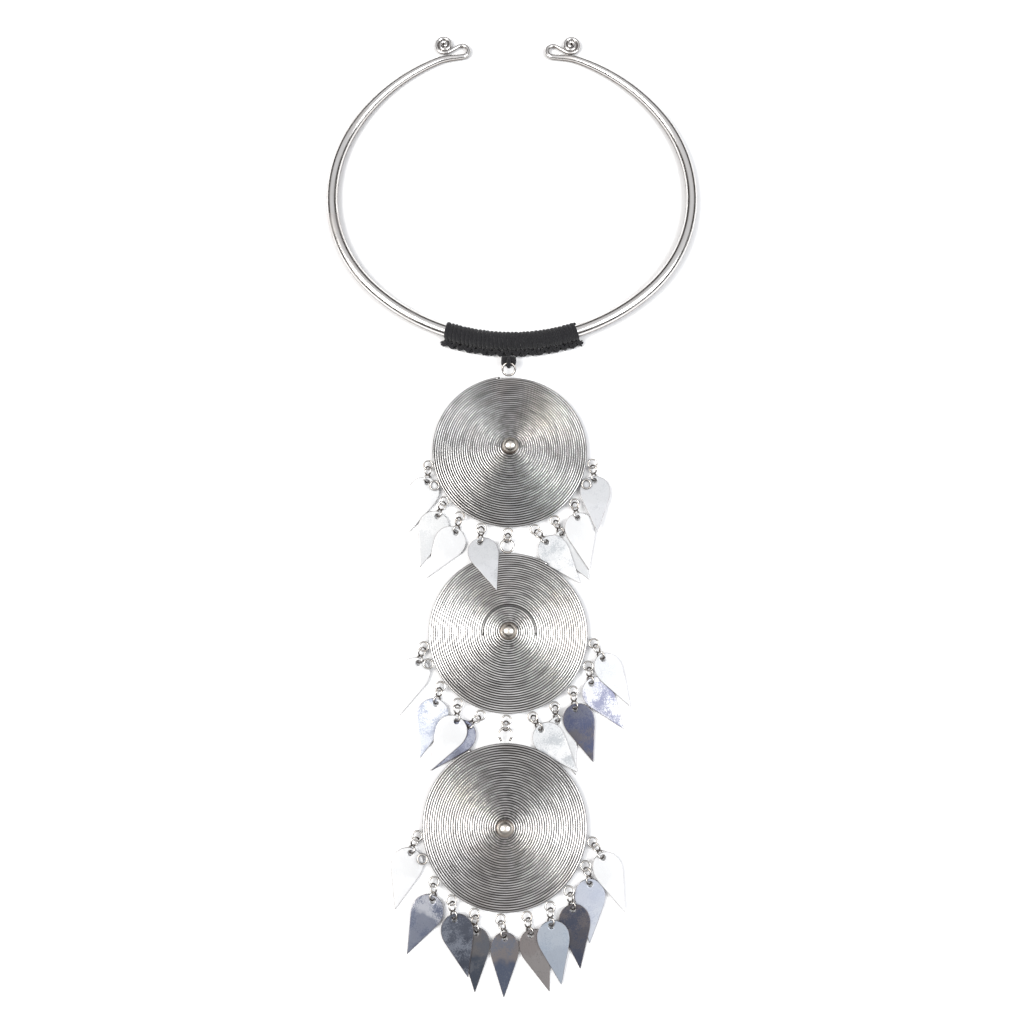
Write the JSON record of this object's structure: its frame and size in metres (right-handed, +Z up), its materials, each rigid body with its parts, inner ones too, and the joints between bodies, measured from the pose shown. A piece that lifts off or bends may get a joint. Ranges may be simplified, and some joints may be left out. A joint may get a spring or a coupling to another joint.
{
  "type": "neck torc with pendants",
  "caption": "Open oval neck ring of tapered wire with coiled ends, a cord wrap, and a hanging row of coiled wire discs fringed with pointed leaf pendants.",
  "frame": {"origin": "centre of the neck opening, on the surface the torc lies on", "axes": "+Y from the pendants to the ring's mouth, +Z up from the surface, +X to the right seen from above"},
  "size_m": [0.1402, 0.3531, 0.0133],
  "materials": {
    "ring_metal": "polished silver-coloured wire",
    "black_cord": "matt black cord",
    "coiled_wire": "polished coiled wire with dark grooves",
    "link_wire": "bright drawn wire",
    "leaf_white": "bright polished sheet",
    "leaf_grey": "polished sheet with fine scratches",
    "leaf_blue": "tarnished sheet, dark blue",
    "leaf_brown": "tarnished sheet, brown grey"
  },
  "bodies": {
    "root": {"neck_ring": "ring_metal", "cord_wrap": "black_cord", "cord_knot": "black_cord", "disc_top": "coiled_wire", "links_top": "link_wire", "leaf_top_1": "leaf_white", "leaf_top_2": "leaf_grey", "leaf_top_3": "leaf_white", "leaf_top_4": "leaf_grey", "leaf_top_5": "leaf_white", "leaf_top_6": "leaf_grey", "leaf_top_7": "leaf_white", "leaf_top_8": "leaf_grey", "connector_top": "link_wire", "disc_middle": "coiled_wire", "links_middle": "link_wire", "leaf_middle_1": "leaf_white", "leaf_middle_2": "leaf_grey", "leaf_middle_3": "leaf_white", "leaf_middle_4": "leaf_blue", "leaf_middle_5": "leaf_grey", "leaf_middle_6": "leaf_grey", "leaf_middle_7": "leaf_blue", "leaf_middle_8": "leaf_white", "leaf_middle_9": "leaf_grey", "connector_middle": "link_wire", "disc_bottom": "coiled_wire", "links_bottom": "link_wire", "leaf_bottom_1": "leaf_white", "leaf_bottom_2": "leaf_grey", "leaf_bottom_3": "leaf_blue", "leaf_bottom_4": "leaf_blue", "leaf_bottom_5": "leaf_blue", "leaf_bottom_6": "leaf_brown", "leaf_bottom_7": "leaf_grey", "leaf_bottom_8": "leaf_blue", "leaf_bottom_9": "leaf_grey", "leaf_bottom_10": "leaf_white"}
  },
  "joints": []
}
